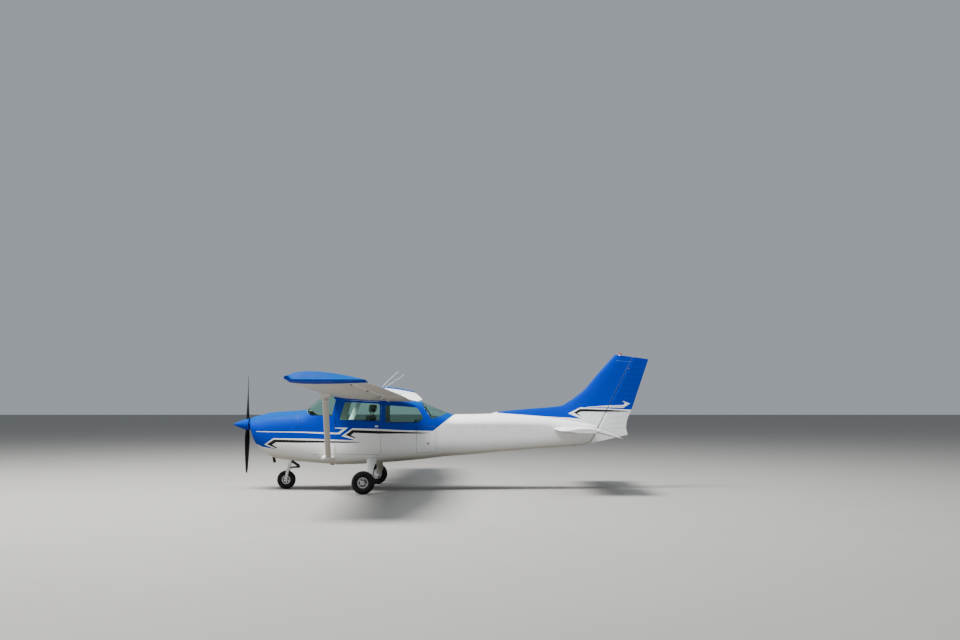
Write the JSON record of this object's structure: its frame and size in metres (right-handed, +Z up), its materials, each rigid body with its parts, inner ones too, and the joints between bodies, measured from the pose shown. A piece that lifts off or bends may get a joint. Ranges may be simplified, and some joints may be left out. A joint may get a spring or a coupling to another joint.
{
  "type": "light aircraft",
  "caption": "High-wing single-engine light aircraft with strut-braced wings, cabin doors, fixed nose-wheel gear, and hinged control surfaces.",
  "frame": {"origin": "on the ground, on the centreline, half way between the spinner's tip and the rudder's trailing edge", "axes": "+X aft, +Y towards the right wing, +Z up; the aircraft stands on its three wheels"},
  "size_m": [8.2001, 11, 2.6666],
  "materials": {
    "painted_skin": "gloss white and blue enamel",
    "painted_blue": "gloss blue enamel",
    "painted_steel": "gloss white enamel",
    "bare_steel": "satin",
    "glazing": "clear, lightly tinted green",
    "tyre": "matte black",
    "wheel_alloy": "satin grey paint",
    "dark_blade": "satin near-black paint",
    "engine_cast": "rough cast",
    "exhaust_steel": "heat-darkened",
    "seat_fabric": "woven, grey",
    "dark_plastic": "textured black",
    "tip_plastic": "gloss blue",
    "whip_plastic": "gloss white",
    "red_lens": "clear red"
  },
  "bodies": {
    "airframe": {"cowling_upper": "painted_blue", "cowling_lower": "painted_skin", "engine": "engine_cast", "exhaust_pipe": "exhaust_steel", "firewall": "bare_steel", "cabin_shell": "painted_blue", "windshield": "glazing", "rear_window": "glazing", "tailcone": "painted_skin", "fin": "painted_blue", "horizontal_stabilizer": "painted_skin", "instrument_panel": "dark_plastic", "rear_bench": "seat_fabric", "nose_oleo": "bare_steel", "beacon": "red_lens", "wing_left": "painted_skin", "wing_tip_left": "tip_plastic", "wing_strut_left": "painted_skin", "main_leg_left": "painted_steel", "main_axle_left": "bare_steel", "side_window_left": "glazing", "seat_front_left": "seat_fabric", "yoke_left": "dark_plastic", "antenna_left": "whip_plastic", "wing_right": "painted_skin", "wing_tip_right": "tip_plastic", "wing_strut_right": "painted_skin", "main_leg_right": "painted_steel", "main_axle_right": "bare_steel", "side_window_right": "glazing", "seat_front_right": "seat_fabric", "yoke_right": "dark_plastic", "antenna_right": "whip_plastic"},
    "propeller": {"propeller": "dark_blade", "spinner": "painted_blue"},
    "nose_steer": {"nose_fork": "bare_steel", "torque_link": "bare_steel"},
    "nose_wheel": {"nose_wheel_tyre": "tyre", "nose_wheel_hub": "wheel_alloy"},
    "elevator": {"elevator": "painted_skin"},
    "rudder": {"rudder": "painted_blue"},
    "baggage_door": {"baggage_door": "painted_skin"},
    "main_wheel_left": {"main_wheel_left_tyre": "tyre", "main_wheel_left_hub": "wheel_alloy"},
    "aileron_left": {"aileron_left": "painted_skin"},
    "flap_left": {"flap_left": "painted_skin"},
    "door_left": {"door_left": "painted_blue", "door_window_left": "glazing"},
    "main_wheel_right": {"main_wheel_right_tyre": "tyre", "main_wheel_right_hub": "wheel_alloy"},
    "aileron_right": {"aileron_right": "painted_skin"},
    "flap_right": {"flap_right": "painted_skin"},
    "door_right": {"door_right": "painted_blue", "door_window_right": "glazing"}
  },
  "joints": [
    {"name": "propeller_spin", "type": "hinge", "parent": "airframe", "child": "propeller", "pos_m": [-3.826, 0, 1.259], "axis": [1, 0, 0], "continuous": true},
    {"name": "nose_steer", "type": "hinge", "parent": "airframe", "child": "nose_steer", "pos_m": [-3, 0, 0.4], "axis": [0.225, 0, 0.9744], "range_deg": [-30, 30]},
    {"name": "nose_wheel_spin", "type": "hinge", "parent": "nose_steer", "child": "nose_wheel", "pos_m": [-3.04, 0, 0.18], "axis": [0, 1, 0], "continuous": true},
    {"name": "main_wheel_left_spin", "type": "hinge", "parent": "airframe", "child": "main_wheel_left", "pos_m": [-1.39, -1.25, 0.212], "axis": [0, 1, 0], "continuous": true},
    {"name": "main_wheel_right_spin", "type": "hinge", "parent": "airframe", "child": "main_wheel_right", "pos_m": [-1.39, 1.25, 0.212], "axis": [0, 1, 0], "continuous": true},
    {"name": "aileron_left_hinge", "type": "hinge", "parent": "airframe", "child": "aileron_left", "pos_m": [-0.90663, -3, 1.84868], "axis": [-0.0897, -0.9944, 0.0558], "range_deg": [-15, 20]},
    {"name": "aileron_right_hinge", "type": "hinge", "parent": "airframe", "child": "aileron_right", "pos_m": [-0.90663, 3, 1.84868], "axis": [0.0897, -0.9944, -0.0558], "range_deg": [-20, 15]},
    {"name": "flap_left_hinge", "type": "hinge", "parent": "airframe", "child": "flap_left", "pos_m": [-0.95433, -0.9, 1.77924], "axis": [0, 0.9995, -0.033], "range_deg": [0, 40]},
    {"name": "flap_right_hinge", "type": "hinge", "parent": "airframe", "child": "flap_right", "pos_m": [-0.95433, 0.9, 1.77924], "axis": [0, 0.9995, 0.033], "range_deg": [0, 40]},
    {"name": "elevator_hinge", "type": "hinge", "parent": "airframe", "child": "elevator", "pos_m": [2.906, 0, 1.165], "axis": [0, -1, 0], "range_deg": [0, 45.6]},
    {"name": "rudder_hinge", "type": "hinge", "parent": "airframe", "child": "rudder", "pos_m": [2.998, 0, 0.93], "axis": [0.4458, 0, 0.8951], "range_deg": [-17.7, 17.7]},
    {"name": "door_left_hinge", "type": "hinge", "parent": "airframe", "child": "door_left", "pos_m": [-2.029, -0.546, 1], "axis": [0, 0, -1], "range_deg": [0, 70]},
    {"name": "door_right_hinge", "type": "hinge", "parent": "airframe", "child": "door_right", "pos_m": [-2.029, 0.546, 1], "axis": [0, 0, 1], "range_deg": [0, 70]},
    {"name": "baggage_door_hinge", "type": "hinge", "parent": "airframe", "child": "baggage_door", "pos_m": [-0.462, -0.52, 1], "axis": [0, 0, -1], "range_deg": [0, 90]}
  ],
  "couplings": [
    {"joint": "aileron_right_hinge", "follows": "aileron_left_hinge", "ratio": -1},
    {"joint": "flap_right_hinge", "follows": "flap_left_hinge", "ratio": 1}
  ]
}
